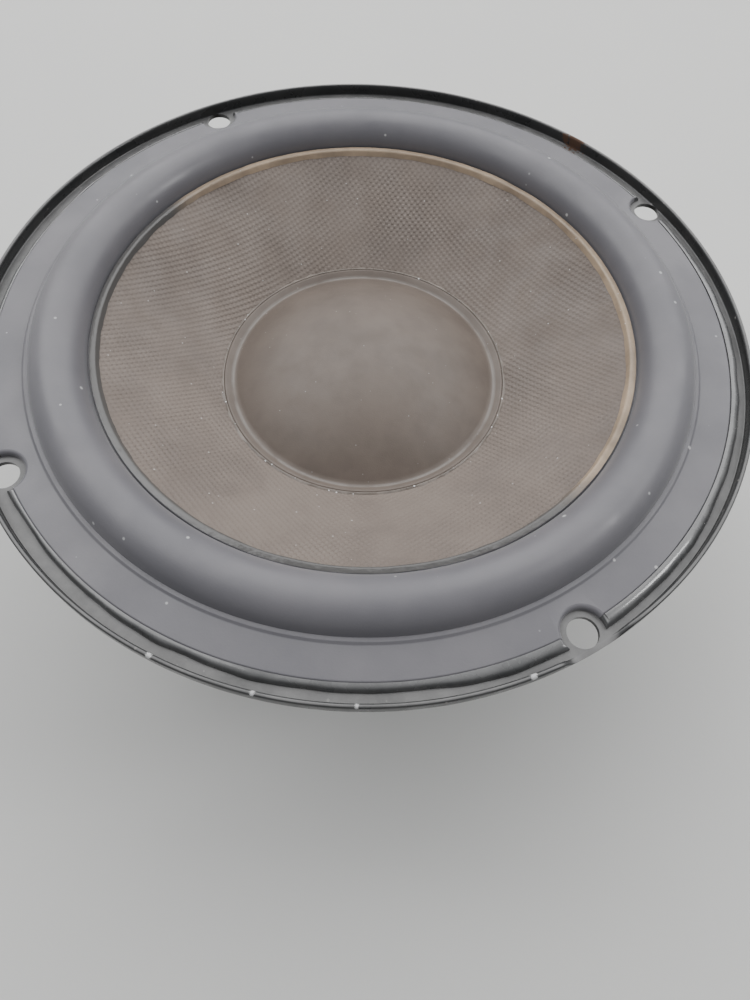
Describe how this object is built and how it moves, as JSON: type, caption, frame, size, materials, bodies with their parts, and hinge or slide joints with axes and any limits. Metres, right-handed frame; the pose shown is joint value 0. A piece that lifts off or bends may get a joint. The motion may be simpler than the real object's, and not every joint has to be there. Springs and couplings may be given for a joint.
{
  "type": "subwoofer loudspeaker driver",
  "caption": "Round moving-coil woofer for a vehicle: pressed steel basket with a rubber surround, woven cone and domed dust cap, ferrite magnet and push terminals.",
  "frame": {"origin": "centre of the face on the back of the mounting flange, which seats on the baffle", "axes": "+Z along the cone's axis, out of the front towards the listener; -Y towards the terminals; the four holes are at 45 degrees to X and Y"},
  "size_m": [0.212, 0.212, 0.0975],
  "materials": {
    "black_paint": "gloss black paint on pressed steel",
    "rubber": "satin moulded rubber",
    "black_cement": "dried black contact cement, glossy",
    "tan_cement": "dried tan cement",
    "amber_cement": "dried amber cement",
    "woven_cone": "coated fibre with a fine woven emboss, matt",
    "cap_board": "smooth coated paper board, matt",
    "former_foil": "thin foil, satin",
    "kraft_paper": "kraft paper wrap",
    "copper_wire": "enamelled copper wire, glossy",
    "copper_braid": "braided copper",
    "spider_cloth": "resin stiffened cotton cloth",
    "zinc_steel": "zinc plated steel",
    "ferrite": "ground ferrite, matt",
    "nickel_brass": "plated brass",
    "spring_steel": "drawn spring wire",
    "solder": "bright solder",
    "fibre_board": "phenolic fibre board",
    "black_plastic": "moulded black plastic",
    "red_plastic": "moulded red plastic"
  },
  "bodies": {
    "frame": {"basket": "black_paint", "surround": "rubber", "surround_adhesive": "black_cement", "spider": "spider_cloth", "spider_edge_glue": "amber_cement", "top_plate": "zinc_steel", "basket_rivets": "zinc_steel", "magnet": "ferrite", "back_plate": "zinc_steel", "pole_piece": "zinc_steel", "terminal_block": "black_plastic", "terminal_board": "fibre_board", "terminal_rivets": "nickel_brass", "terminal_contact_negative": "nickel_brass", "terminal_contact_positive": "nickel_brass", "terminal_spring_black": "spring_steel", "terminal_spring_red": "spring_steel", "solder_joints": "solder", "tinsel_lead_negative": "copper_braid", "tinsel_lead_positive": "copper_braid"},
    "cone_assembly": {"cone": "woven_cone", "cone_edge_glue": "tan_cement", "cone_neck_glue": "amber_cement", "dust_cap": "cap_board", "dust_cap_glue": "tan_cement", "voice_coil_former": "former_foil", "former_collar": "kraft_paper", "voice_coil_winding": "copper_wire", "coil_lead_wires": "copper_wire", "lead_eyelets": "nickel_brass", "spider_neck_glue": "amber_cement"},
    "button_red": {"terminal_button_red": "red_plastic"},
    "button_black": {"terminal_button_black": "black_plastic"}
  },
  "joints": [
    {"name": "cone_excursion", "type": "slide", "parent": "frame", "child": "cone_assembly", "axis": [0, 0, 1], "range_m": [-0.006, 0.006], "stiffness_N_per_m": 2500, "deforming": ["surround", "spider", "tinsel_lead_negative", "tinsel_lead_positive"]},
    {"name": "press_red_button", "type": "slide", "parent": "frame", "child": "button_red", "axis": [0, 1, 0], "range_m": [0, 0.0035], "stiffness_N_per_m": 800, "springref_m": -0.002, "deforming": ["terminal_spring_red"]},
    {"name": "press_black_button", "type": "slide", "parent": "frame", "child": "button_black", "axis": [0, 1, 0], "range_m": [0, 0.0035], "stiffness_N_per_m": 800, "springref_m": -0.002, "deforming": ["terminal_spring_black"]}
  ]
}
